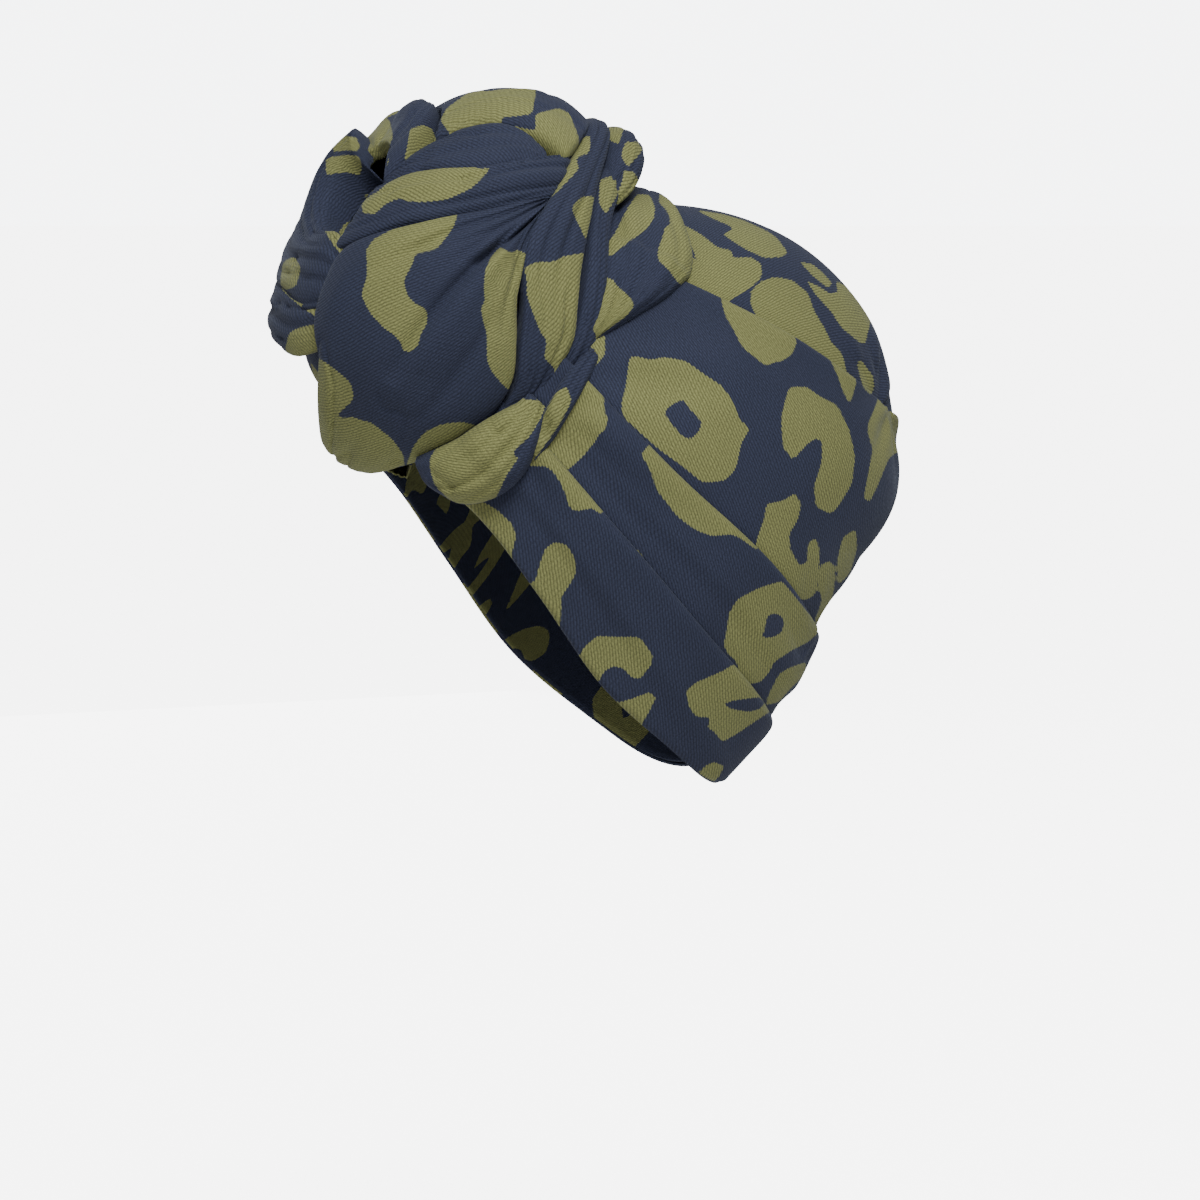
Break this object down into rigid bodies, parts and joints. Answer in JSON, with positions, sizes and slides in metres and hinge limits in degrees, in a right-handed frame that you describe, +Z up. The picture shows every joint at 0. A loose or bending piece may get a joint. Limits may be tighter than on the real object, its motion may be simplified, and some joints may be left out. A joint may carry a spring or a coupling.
{
  "type": "turban headwrap",
  "caption": "Pre-tied turban headwrap of printed cloth: overlapping bands round a domed cap, gathered into a large coiled knot above the brow.",
  "frame": {"origin": "where the middle of the wearer's head sits, inside the hollow", "axes": "+Z up, the face looks along -Y, the wearer's left is +X"},
  "size_m": [0.1624, 0.2428, 0.2677],
  "materials": {
    "printed_cloth": "matte woven cotton, navy with olive green print"
  },
  "bodies": {
    "root": {"crown_cap": "printed_cloth", "upper_wrap": "printed_cloth", "middle_wrap": "printed_cloth", "front_band": "printed_cloth", "long_band": "printed_cloth", "rope_inner": "printed_cloth", "rope_outer": "printed_cloth", "lobe": "printed_cloth", "dome_fold": "printed_cloth", "curl": "printed_cloth", "top_left_fold": "printed_cloth", "top_fold": "printed_cloth", "left_upper_fold": "printed_cloth", "left_lower_fold": "printed_cloth", "top_right_fold": "printed_cloth", "far_lobe": "printed_cloth", "strand": "printed_cloth", "tail": "printed_cloth", "puff": "printed_cloth", "knot_core": "printed_cloth"}
  },
  "joints": []
}
